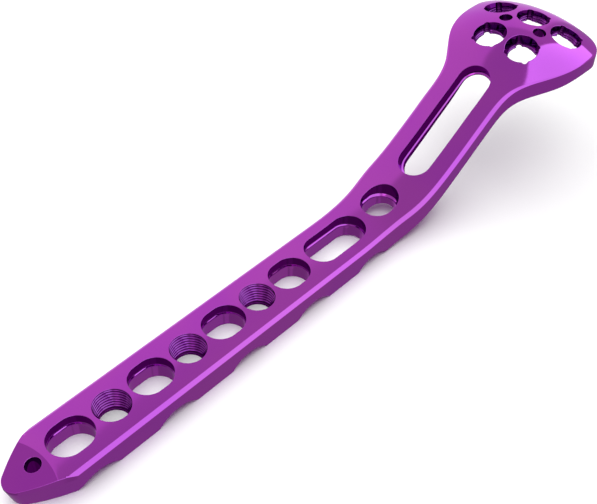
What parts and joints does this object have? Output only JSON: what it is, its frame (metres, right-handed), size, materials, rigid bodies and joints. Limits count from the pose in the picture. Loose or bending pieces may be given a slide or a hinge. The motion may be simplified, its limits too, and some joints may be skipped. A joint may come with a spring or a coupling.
{
  "type": "orthopedic bone plate",
  "caption": "Purple anodised locking bone plate: slim shaft with threaded and countersunk screw holes and a slot, rising through a long slotted neck to a domed, flared head",
  "frame": {"origin": "on the flat bone-side face, at the axis of the middle locking hole of the shaft, which is also the centre of both rows of shaft holes", "axes": "+X along the shaft toward the flared head, +Y to the left across the plate, +Z away from the bone"},
  "size_m": [0.1247, 0.0254, 0.0238],
  "materials": {
    "anodised_titanium": "smooth purple colour-anodised titanium with soft machined gloss"
  },
  "bodies": {
    "root": {"bone_plate": "anodised_titanium"}
  },
  "joints": []
}
